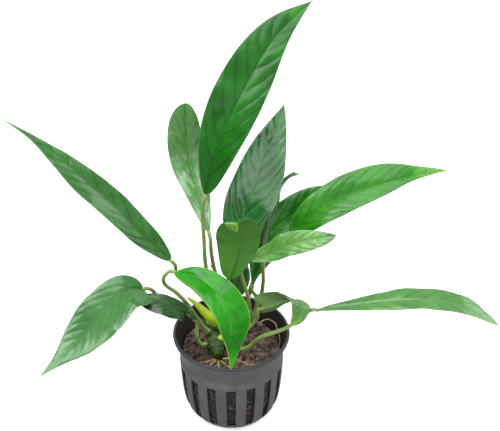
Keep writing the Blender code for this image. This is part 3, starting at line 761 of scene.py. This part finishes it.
LEAVES = [
    Leaf("tall", (0.56, 0), [(-6, 4, 26), (-11, 2, 43), (-12, 3, 60)],
         [(-11, 5, 83), (-4, 9, 110), (7, 17, 132), (20, 28, 150), (36, 42, 160)],
         (12.3, 11.3), [(0, -0.8, 0.6)], (0.48, 0.41), (1.9, 2.1)),
    Leaf("upright_left", (0.62, -30), [(-5, 9, 26), (-7.5, 8.5, 38), (-9, 7.5, 50)],
         [(-10, 10, 59.4), (-14, 22, 71.5), (-19, 33, 85.4), (-20, 35, 99.5), (-20, 34, 113.4)],
         (9.5, 7), [(0, -0.8, 0.6)], 0.62, 1.35),
    Leaf("upright_mid", (0.78, -15), [(4, 9, 28)],
         [(4, 9, 45), (7, 13, 71), (11, 17, 82), (15, 22, 94), (24, 32, 114)],
         (10.3, 12.5), [(0, -0.8, 0.6)], (0.38, 0.45), 1.7, fold=(9, 4)),
    Leaf("front_round", (0.62, 35), [(-1, 1, 20), (-1, -4, 33)],
         [(-1, -6, 45), (1, -5, 52), (3, -5, 61), (4, -8, 72), (4, -12, 80), (3, -17, 79)],
         (10, 10.5), [(0, 0.8, -0.6), (0, 0.8, 0.3)], 0.5, 1.3),
    Leaf("back_right", (0.94, 35), [(12, 7, 19), (11.5, 8, 24)],
         [(10, 9, 29), (12, 14, 40), (16, 19, 50), (28, 25, 58), (48, 33, 69)],
         (8.5, 8), [(0, -0.8, 0.6)], 0.6, 2.0),
    Leaf("right_long", (0.88, -40), [(8, 12, 18), (10, 12.5, 28), (20, 13, 44)],
         [(27, 14, 56), (38, 14, 68), (50, 15, 75), (61, 16, 79), (78, 18, 83.5), (98, 22, 85)],
         (10, 9.0), [(0, -0.6, 0.8)], (0.5, 0.28), (1.5, 1.8), tail=0.35),
    Leaf("right_twisted", (0.82, 40), [(6.5, 2, 17), (8, -0.6, 27)],
         [(9, 0, 51), (18, -1, 55), (27, -3, 62), (36, -5, 66), (47, -7, 70)],
         (6.0, 5.5), [(-0.2, -0.7, 0.7)], (0.4, 0.55), 1.4),
    Leaf("right_low", (0.20, 85), [(5, -7, 4), (14, -8, 12), (26, -7, 17), (35, -5, 24)],
         [(39, -5, 26), (60, -4, 28.5), (81, -3, 30), (94, -3, 29.8), (107, -4, 27),
          (124, -7.5, 18.5)],
         (7.8, 6.3), [(0, -0.1, 1)], (0.62, 0.5), (1.75, 1.9), fold=(10, 4)),
    Leaf("right_folded", (0.36, 80), [(2, -3, 9), (7, -5, 14), (12, -5, 21)],
         [(15, -4, 26), (19, -2, 26), (24, -1, 28), (29, -3, 30), (32, -8, 31), (31, -12, 28),
          (27, -15, 24)],
         (6, 9.5), [(-0.2, 0.9, -0.3), (0.1, 0.6, 0.5), (0.6, -0.3, 0.7), (0.6, -0.5, 0.6)],
         (0.4, 0.3), 1.3, lobe=(3, 7)),
    Leaf("front_droop", (0.33, -40),
         [(-16, -2, 19), (-21, -4, 30), (-25, -6, 37), (-30, -8, 44), (-30, -9, 48)],
         [(-25, -9, 51), (-16, -13, 52), (-7, -20, 49), (-1, -27, 41), (0, -32, 31),
          (0, -35, 16)],
         (10, 7.6), [(0.2, -0.5, 0.8), (0.5, -0.7, 0.3)], (0.60, 0.36), (1.5, 1.6), lobe=0.5,
         tail=0.45),
    Leaf("left_long", (0.53, -38), [(-10, 8.6, 17), (-17, 6.4, 29), (-25, 0, 43)],
         [(-27, -3, 53), (-37, -3, 65), (-53, -1, 84), (-70, 3, 100), (-85, 7, 112),
          (-100, 12, 119.5)],
         (9.2, 7.0), [(0.45, -0.45, 0.75)], (0.38, 0.30), (1.8, 1.8), lobe=0.5, tail=0.5),
    Leaf("left_droop", (0.44, -70), [(-16, 3, 14), (-24, 0, 22), (-32.5, -4, 32)],
         [(-39.5, -9, 41.5), (-47, -13.5, 44.5), (-57, -20.5, 38), (-68, -29, 28), (-78, -36.5, 21),
          (-85.5, -42, 16.5)],
         (14, 10), [(-0.1, -0.5, 0.85)], (0.27, 0.36), (1.8, 1.9), fold=(25, 5),
         lobe=(5, 1), tail=0.3),
    Leaf("left_striped", (0.22, -85), [(-15.9, -6.2, 10.6)],
         [(-17, -5, 20), (-22, -9.5, 29.5), (-29, -11.5, 35), (-36, -11, 37), (-43, -8, 36.5)],
         (7, 3.8), [(-0.5, -0.4, 0.7), (0, -0.4, 0.9)], 0.55, 1.6, lobe=0),
    Leaf("back_narrow", (0.97, -30), [(14, 9.5, 22), (15, 9.5, 32)],
         [(15, 10, 41), (15.5, 12, 52), (19.5, 15.5, 67), (24, 21, 80), (29, 23, 82.5),
          (32, 24, 81)],
         (5, 5), [(1, -0.3, 0.2)], 0.4, 1.7),
    Leaf("inner", (0.72, 15), [(2, 4, 21)],
         [(3, 2.5, 29), (4, 3.5, 37), (4, 4.5, 44), (5, 6.5, 52)],
         (6, 5), [(0, -0.8, 0.6)], 0.4, 1.5),
]
STALK_R = 1.0 * MM
CHANNEL = 1.9           # where the channel lies round the stalk, in radians


def stalk_outline(a, u):
    """A round outline with a shallow channel along one side, and low wings of a sheath over the
    first tenth of the length."""
    off = np.mod(a - CHANNEL + math.pi, 2 * math.pi) - math.pi
    wings = 0.22 * np.exp(-(u / 0.07) ** 2) * np.cos(2 * off) ** 2
    return 1 - 0.13 * np.exp(-(off / 0.5) ** 2) + wings


# green, with painted light as paler streaks down the sides and back, and paler in the joint under
# the blade
STALK_MAT, tree, shader = new_material("stalk_green", Specular_IOR_Level=0.5, Coat_Weight=0.15,
                                       Coat_Roughness=0.25)
g = add_grain(tree, 900.0, 150.0)
along = wire(tree, "ShaderNodeAttribute", -900, 300, attribute_name="along")
lit_side_streak = wire(tree, "ShaderNodeAttribute", -900, 500, attribute_name="lit_side_streak")
green = blend(tree, g.outputs["Mask"], (0.05, 0.16, 0.010), (0.15, 0.32, 0.03))
# painted light: the streaks lighten every stalk on the same sides, as if lit from there
green = blend(tree, span(tree, lit_side_streak.outputs["Fac"], 0, 1, 0, 0.6), green, (0.42, 0.44, 0.20),
              x=-350)
green = blend(tree, span(tree, along.outputs["Fac"], 0.93, 0.99, 0, 0.6), green,
              (0.26, 0.36, 0.12), x=-200)
tree.links.new(green, shader.inputs["Base Color"])
tree.links.new(span(tree, g.outputs["Mask"], 0, 1, 0.3, 0.45), shader.inputs["Roughness"])
raise_bump(tree, shader, g.outputs["Height"], 0.00006, 0.6)

rows, sides = 110, 28
u = np.linspace(0, 1, rows + 1)
a = np.arange(sides) * 2 * math.pi / sides
# painted light: where the pale streaks lie round each stalk, counted from one fixed direction
lit_side_streaks = np.cos(2 * (a - CHANNEL)) ** 2 * (np.abs(a - CHANNEL) > 0.9)
for number, leaf in enumerate(LEAVES):
    start, out = growing_point(*leaf.grows, -0.6 * MM)
    tip = place([leaf.rib[0], leaf.rib[1]])
    heading = unit(tip[1] - tip[0])
    end = tip[0] - heading * 0.42 * MM
    path = smooth_path([start, start + out * 2.8 * MM, *place(leaf.stalk),
                        end - 1.8 * MM * heading, end + 1.2 * MM * heading], rows)
    rad = STALK_R * np.interp(u, [0, 0.06, 0.25, 0.6, 0.93, 0.965, 1],
                              [1.55, 1.25, 1.03, 0.95, 0.86, 0.98, 0.8])
    rad = rad * (1 + 0.03 * lattice_noise(path, 6 * MM, 40 + number))
    grid = carried_ring(path, domed(rad, 0.012), sides, stalk_outline)
    stalk = shape_object("stalk_" + leaf.name + "_fine", grid, tube_faces(rows + 1, sides))
    put_attribute(stalk, "along", np.repeat(u, sides))
    put_attribute(stalk, "lit_side_streak", np.tile(lit_side_streaks, rows + 1))
    stalk.data.materials.append(STALK_MAT)
    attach(stalk, "root")
    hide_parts("stalk_" + leaf.name)


# ---------------------------------------------------------------------------- leaf blades
# Thick, leathery, evergreen blades.  The skin bulges between sunken side veins, the midrib is a
# groove above and a keel below, and the upper side has a waxy gloss that the underside lacks.
TIP_START = 0.8         # share of a blade's length at which its tip's colour begins
BLADE_THICK = 0.42      # mm, beside the midrib
BLADE_WAVE = 0.35       # mm, the height of the waves along the margin


def leaf_group():
    """Shader group for a blade.  It reads attributes of the mesh: top is 1 on the upper side,
    along runs from base to tip, vein peaks on the side veins and fine on the small ones between,
    rib peaks on the midrib and rim at the margin.  Colour mixes the given greens by those and by
    noise, with painted shade darkening the side veins and painted light on the bulges between
    them, and Gloss is 1 where the skin is waxy."""
    group = bpy.data.node_groups.new("blade_surface", "ShaderNodeTree")
    for name in ("Deep", "Light", "Tip", "Rib", "Rim", "Under"):
        group.interface.new_socket(name, in_out="INPUT", socket_type="NodeSocketColor")
    for name in ("Vein Shade", "Patchy", "Smooth", "Rough"):
        group.interface.new_socket(name, in_out="INPUT", socket_type="NodeSocketFloat")
    group.interface.new_socket("Colour", in_out="OUTPUT", socket_type="NodeSocketColor")
    for name in ("Roughness", "Height", "Gloss"):
        group.interface.new_socket(name, in_out="OUTPUT", socket_type="NodeSocketFloat")
    a = wire(group, "NodeGroupInput", -1500, 0)
    z = wire(group, "NodeGroupOutput", 900, 0)
    where = wire(group, "ShaderNodeTexCoord", -1500, -400)

    def read(name, y):
        return wire(group, "ShaderNodeAttribute", -1500, y, attribute_name=name).outputs["Fac"]

    def maths(kind):
        def join(p, q):
            node = wire(group, "ShaderNodeMath", -600, -500, operation=kind)
            for socket, value in zip(node.inputs, (p, q)):
                if isinstance(value, (int, float)):
                    socket.default_value = value
                else:
                    group.links.new(value, socket)
            return node.outputs[0]
        return join

    def noise(scale, detail, y):
        node = wire(group, "ShaderNodeTexNoise", -1200, y)
        node.inputs["Scale"].default_value = scale
        node.inputs["Detail"].default_value = detail
        group.links.new(where.outputs["Object"], node.inputs["Vector"])
        return node.outputs["Fac"]

    times, plus, minus = (maths(kind) for kind in ("MULTIPLY", "ADD", "SUBTRACT"))
    top, along, vein, fine, rib, rim = (read(name, 900 - 150 * k) for k, name in enumerate(
        ("top", "along", "vein", "fine", "rib", "rim")))
    blotch = span(group, noise(75.0, 4.0, -300), 0.38, 0.64)
    mottle = span(group, noise(650.0, 3.0, -500), 0.35, 0.65)
    patch = times(blotch, a.outputs["Patchy"])
    # painted light: the bulges between the side veins are lightened
    crown_painted_light = times(minus(1.0, vein), 0.25)
    light = plus(plus(patch, crown_painted_light), times(mottle, 0.16))
    colour = blend(group, light, a.outputs["Deep"], a.outputs["Light"], x=-300)
    past = minus(along, TIP_START)
    tipped = span(group, plus(past, times(blotch, 0.08)), 0.04, 0.26)
    colour = blend(group, tipped, colour, a.outputs["Tip"], x=-150)
    # painted shade: the side veins are darkened, as strongly as the blade's vein setting asks
    vein_painted_shade = times(vein, a.outputs["Vein Shade"])
    dark = wire(group, "ShaderNodeMix", 0, 300, data_type="RGBA", blend_type="MULTIPLY")
    group.links.new(vein_painted_shade, dark.inputs["Factor"])
    group.links.new(colour, dark.inputs[6])
    dark.inputs[7].default_value = (0.42, 0.55, 0.42, 1)
    colour = blend(group, times(fine, 0.18), dark.outputs[2], a.outputs["Deep"], x=150)
    colour = blend(group, times(rib, 0.8), colour, a.outputs["Rib"], x=300)
    colour = blend(group, times(rim, 0.75), colour, a.outputs["Rim"], x=450)
    under = blend(group, times(mottle, 0.35), a.outputs["Under"], a.outputs["Light"],
                  x=150, y=500)
    under = blend(group, times(vein, 0.35), under, a.outputs["Rib"], x=300, y=500)
    group.links.new(blend(group, top, under, colour, x=650), z.inputs["Colour"])
    glossy = wire(group, "ShaderNodeMapRange", 450, -200)
    group.links.new(plus(times(blotch, 0.7), times(mottle, 0.3)), glossy.inputs["Value"])
    group.links.new(a.outputs["Smooth"], glossy.inputs["To Min"])
    group.links.new(a.outputs["Rough"], glossy.inputs["To Max"])
    dull = wire(group, "ShaderNodeMix", 650, -200, data_type="FLOAT")
    group.links.new(top, dull.inputs["Factor"])
    dull.inputs["A"].default_value = 0.55
    group.links.new(glossy.outputs["Result"], dull.inputs["B"])
    group.links.new(dull.outputs["Result"], z.inputs["Roughness"])
    cells = wire(group, "ShaderNodeTexVoronoi", -1200, -700)
    cells.inputs["Scale"].default_value = 1500.0
    group.links.new(where.outputs["Object"], cells.inputs["Vector"])
    grain = plus(times(cells.outputs["Distance"], 0.5), times(noise(2600.0, 2.0, -900), 0.7))
    grain = plus(grain, times(noise(420.0, 2.0, -1100), 3.2))
    grain = minus(grain, times(fine, 0.8))
    group.links.new(grain, z.inputs["Height"])
    group.links.new(top, z.inputs["Gloss"])
    return group


BLADE_SURFACE = leaf_group()


def blade_material(name, deep, light, tip, under, rib=(0.08, 0.22, 0.04), rim=(0.17, 0.26, 0.14),
                   vein=0.5, patchy=0.45, smooth=0.22, rough=0.36, coat=0.5, shine=0.4):
    """A blade's own finish: its greens above and below, and coat, the wax on its upper side."""
    mat, tree, shader = new_material("blade_" + name, Specular_IOR_Level=shine, Coat_Roughness=0.16)
    g = wire(tree, "ShaderNodeGroup", -500, 0, node_tree=BLADE_SURFACE)
    for socket, value in (("Deep", deep), ("Light", light), ("Tip", tip), ("Rib", rib),
                          ("Rim", rim), ("Under", under)):
        g.inputs[socket].default_value = (*value, 1.0)
    # vein is the strength of the painted shade in the side veins
    for socket, value in (("Vein Shade", vein), ("Patchy", patchy), ("Smooth", smooth),
                          ("Rough", rough)):
        g.inputs[socket].default_value = value
    tree.links.new(g.outputs["Colour"], shader.inputs["Base Color"])
    tree.links.new(g.outputs["Roughness"], shader.inputs["Roughness"])
    tree.links.new(span(tree, g.outputs["Gloss"], 0, 1, 0, coat), shader.inputs["Coat Weight"])
    raise_bump(tree, shader, g.outputs["Height"], 0.00005, 0.55)
    return mat


def ease(t):
    """Smooth step from 0 at t = 0 to 1 at t = 1."""
    t = np.clip(t, 0.0, 1.0)
    return t * t * (3 - 2 * t)


def across_steps(n):
    """Steps from -1 to 1 across a blade, n to each side, close together at the midrib."""
    s = np.linspace(-1, 1, 2 * n + 1)
    return np.sign(s) * (0.35 * np.abs(s) + 0.65 * np.abs(s) ** 2.1)


def blade_mesh(leaf, seed, veins, quilt, rows=150, halves=36):
    """A blade's two skins.  Across the midrib curve stand half widths
    half (u/m)^(fm) ((1-u)/(1-m))^(f(1-m)), folded up by an angle, curled down at the margin and
    swept to the tip; the sheet is then pushed along its normal between the side veins, by quilt
    in mm."""
    # the midrib's line, and the directions along it, out of the upper side and across
    rng = np.random.default_rng(seed)
    rib = smooth_path(place(leaf.rib), rows)
    length = np.linalg.norm(np.diff(rib, axis=0), axis=1).sum()
    u = np.linspace(0, 1, rows + 1)
    F = unit(np.array(leaf.face, float))
    k = np.linspace(0, 1, len(F))
    want = np.stack([np.interp(u, k, F[:, i]) for i in range(3)], axis=-1)
    T = unit(np.gradient(rib, axis=0))
    N = unit(want - (want * T).sum(-1, keepdims=True) * T)
    S = np.cross(T, N)
    v = across_steps(halves)

    def sides(value):
        pair = np.broadcast_to(value, 2)
        return np.where(v < 0, pair[0], pair[1])[None]

    # the outline of each half, and the folded, curled and waved sheet within it
    m, f, u = sides(leaf.belly), sides(leaf.taper), u[:, None]
    shape = (u / m) ** (f * m) * ((1 - u) / (1 - m)) ** (f * (1 - m))
    shape = shape * (1 - leaf.tail * ease((u - 0.6) / 0.3))
    w = np.maximum(shape * sides(leaf.half) * MM, (0.55 * (1 - u) + 0.2) * MM)
    a = np.abs(v)[None]
    fold = np.radians(np.interp(u, np.linspace(0, 1, len(leaf.fold)), leaf.fold))
    ends = np.minimum(1, 8 * np.minimum(u, 1 - u))
    size = w / (np.max(sides(leaf.half)) * MM)
    bend = rng.uniform(0, 2 * math.pi, 3)
    ripple = (np.sin(2 * math.pi * 3.1 * u + bend[0] + 1.3 * (v < 0))
              + 0.6 * np.sin(2 * math.pi * 5.3 * u + bend[1] + 2.1 * (v < 0)))
    side = w * v[None] * np.cos(fold)
    lift = (w * a * np.sin(fold) - 0.10 * w * a ** 2.5
            + BLADE_WAVE * MM * a ** 2 * ripple * size)
    along = (0.30 * w * a * (1 - u) * ends
             - sides(leaf.lobe) * MM * a ** 1.5 * u / 0.07 * np.exp(1 - u / 0.07))
    mid = (rib[:, None] + side[..., None] * S[:, None] + lift[..., None] * N[:, None]
           + along[..., None] * T[:, None])
    skin = unit(np.cross(np.gradient(mid, axis=1), np.gradient(mid, axis=0)))
    normal = unit(ends[..., None] * skin + (1 - ends[..., None]) * N[:, None])

    # side veins that run out and forward, the bulges between them, the midrib and slow waves
    drift = (0.10 * np.sin(2 * math.pi * 2.3 * u + bend[2]) + 0.5 * (v < 0)
             + 0.16 * lattice_noise(mid, 9 * MM, seed + 3))
    phase = veins * (u - w / length * (1.15 * a + 0.75 * a ** 3)) + drift
    near = np.abs(np.mod(phase + 0.5, 1) - 0.5)
    fade = np.clip(a / 0.16, 0, 1) * np.clip((1 - a) / 0.18, 0, 1) ** 0.7 * ends
    swell = (np.sin(math.pi * np.mod(phase, 1)) ** 0.8 - 0.55) * fade
    minor = np.cos(2 * math.pi * 4 * phase) * fade
    s = w * a / MM
    groove = np.exp(-(s / 0.75) ** 2) * np.clip(1.15 - u, 0, 1)
    heave = (0.5 * lattice_noise(mid, 15 * MM, seed) + 0.24 * lattice_noise(mid, 6 * MM, seed + 1)
             + 0.07 * lattice_noise(mid, 2.5 * MM, seed + 4))
    lively = 0.7 + 0.65 * lattice_noise(mid, 14 * MM, seed + 2)
    mid = mid + normal * ((quilt * lively * swell + 0.018 * minor - 0.22 * groove
                           + heave * ends * np.clip(s / 3, 0, 1)) * MM)[..., None]
    keel_r = 0.82 * (1 - u) ** 0.8 + 0.12
    keel = keel_r * np.sqrt(np.clip(1 - (s / (1.15 * keel_r)) ** 2, 0, 1))
    vein = np.exp(-(near / 0.085) ** 2) * fade
    half_t = BLADE_THICK / 2 * np.sqrt(np.clip(1 - a ** 6, 0.06, 1)) * (0.35 + 0.65 * ends)
    top = mid + normal * (half_t * MM)[..., None]
    under = mid - normal * ((half_t + keel + 0.07 * vein) * MM)[..., None]

    # the two skins' faces, joined all round the margin
    r, n = rows + 1, len(v)
    idx = np.arange(2 * r * n).reshape(2, r, n)

    def quads(p):
        return np.stack([p[:-1, :-1], p[:-1, 1:], p[1:, 1:], p[1:, :-1]], axis=-1).reshape(-1, 4)

    loop = np.concatenate([idx[:, 0, :], idx[:, 1:-1, -1], idx[:, -1, ::-1], idx[:, -2:0:-1, 0]],
                          axis=1)
    after = np.roll(loop, -1, axis=1)
    border = np.stack([loop[0], loop[1], after[1], after[0]], axis=-1)
    faces = np.concatenate([quads(idx[0]), quads(idx[1])[:, ::-1], border])
    rim = np.exp(-(w * (1 - a) / MM / 0.30) ** 2) * np.ones_like(a)
    marks = dict(top=[np.ones((r, n)), np.zeros((r, n))],
                 along=[u + 0 * a] * 2, vein=[vein] * 2, fine=[np.clip(minor, 0, 1)] * 2,
                 rim=[rim] * 2,
                 rib=[np.exp(-(s / 0.38) ** 2) * np.clip(0.75 - 0.6 * u, 0, 1),
                      np.exp(-(s / 0.6) ** 2) * np.clip(1.1 - u, 0, 1)])
    return np.stack([top, under]), faces.tolist(), marks


# each blade's finish: its greens above (deep, light, tip) and below, its midrib and margin where
# they differ, how far it bulges between how many side veins, how much painted shade darkens
# those veins, and how it shines
FINISH = {
    "tall": dict(deep=(0.001, 0.070, 0.0005), light=(0.008, 0.16, 0.003), tip=(0.04, 0.22, 0.02),
                 under=(0.08, 0.20, 0.05), rib=(0.01, 0.11, 0.006), quilt=0.32, veins=10,
                 vein=0.65, patchy=0.6, shine=0.22, coat=0.3),
    "upright_left": dict(deep=(0.030, 0.17, 0.014), light=(0.07, 0.29, 0.03),
                         tip=(0.07, 0.30, 0.03), under=(0.12, 0.25, 0.08), quilt=0.18, veins=9,
                         vein=0.25, shine=1.0, coat=1.0),
    "upright_mid": dict(deep=(0.004, 0.08, 0.008), light=(0.03, 0.26, 0.045),
                        tip=(0.05, 0.28, 0.04), under=(0.10, 0.22, 0.08), rib=(0.02, 0.12, 0.02),
                        quilt=0.62, veins=10, vein=1.0, shine=1.0, coat=1.0, smooth=0.2,
                        rough=0.3),
    "front_round": dict(deep=(0.012, 0.10, 0.006), light=(0.05, 0.22, 0.015),
                        tip=(0.27, 0.44, 0.03), under=(0.06, 0.23, 0.02), rib=(0.11, 0.17, 0.04),
                        quilt=0.08, veins=7),
    "back_right": dict(deep=(0.004, 0.09, 0.001), light=(0.02, 0.24, 0.004),
                       tip=(0.07, 0.28, 0.012), under=(0.08, 0.22, 0.04),
                       rib=(0.01, 0.14, 0.004), quilt=0.26, veins=9, shine=0.25),
    "right_long": dict(deep=(0.006, 0.14, 0.001), light=(0.035, 0.27, 0.005),
                       tip=(0.13, 0.36, 0.05), under=(0.14, 0.30, 0.05), rib=(0.02, 0.20, 0.003),
                       quilt=0.3, veins=11, shine=0.25, coat=0.35, smooth=0.2, rough=0.32),
    "right_twisted": dict(deep=(0.06, 0.24, 0.03), light=(0.17, 0.40, 0.08),
                          tip=(0.02, 0.08, 0.02), under=(0.15, 0.27, 0.10), quilt=0.26, veins=8),
    "right_low": dict(deep=(0.02, 0.15, 0.012), light=(0.07, 0.26, 0.03), tip=(0.06, 0.26, 0.02),
                      under=(0.13, 0.26, 0.08), quilt=0.18, veins=10, shine=0.5, coat=0.7),
    "right_folded": dict(deep=(0.04, 0.18, 0.02), light=(0.11, 0.28, 0.05),
                         tip=(0.22, 0.42, 0.04), under=(0.14, 0.26, 0.08), quilt=0.16, veins=8),
    "front_droop": dict(deep=(0.004, 0.12, 0.0002), light=(0.015, 0.29, 0.0004),
                        tip=(0.055, 0.40, 0.001), under=(0.10, 0.34, 0.012),
                        rib=(0.02, 0.24, 0.001), rim=(0.34, 0.54, 0.10), quilt=0.06, veins=9,
                        vein=0.15, patchy=0.7, shine=0.1, smooth=0.16, rough=0.3),
    "left_long": dict(deep=(0.004, 0.08, 0.003), light=(0.03, 0.18, 0.02),
                      tip=(0.14, 0.28, 0.12), under=(0.12, 0.24, 0.09), rib=(0.015, 0.12, 0.01),
                      quilt=0.4, veins=11, vein=0.7, shine=0.3, smooth=0.2, rough=0.3),
    "left_droop": dict(deep=(0.008, 0.11, 0.005), light=(0.03, 0.20, 0.02),
                       tip=(0.10, 0.29, 0.06), under=(0.12, 0.25, 0.08), rib=(0.02, 0.14, 0.01),
                       quilt=0.13, veins=10, shine=0.55, smooth=0.2, rough=0.32),
    "left_striped": dict(deep=(0.004, 0.045, 0.004), light=(0.02, 0.10, 0.016),
                         tip=(0.03, 0.10, 0.03), under=(0.06, 0.13, 0.06), quilt=0.28, veins=8),
    "back_narrow": dict(deep=(0.03, 0.10, 0.03), light=(0.09, 0.20, 0.08), tip=(0.2, 0.25, 0.2),
                        under=(0.10, 0.20, 0.08), quilt=0.14, veins=8),
    "inner": dict(deep=(0.010, 0.07, 0.012), light=(0.05, 0.16, 0.04), tip=(0.07, 0.20, 0.05),
                  under=(0.08, 0.17, 0.06), quilt=0.14, veins=7),
}

for number, leaf in enumerate(LEAVES):
    look = dict(FINISH[leaf.name])
    points, faces, marks = blade_mesh(leaf, 100 + number, look.pop("veins"), look.pop("quilt"))
    blade = clean(shape_object("blade_" + leaf.name + "_fine", points, faces, sharp=80))
    for mark, values in marks.items():
        put_attribute(blade, mark, np.stack(values))
    blade.data.materials.append(blade_material(leaf.name, **look))
    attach(blade, "root")
    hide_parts("blade_" + leaf.name)
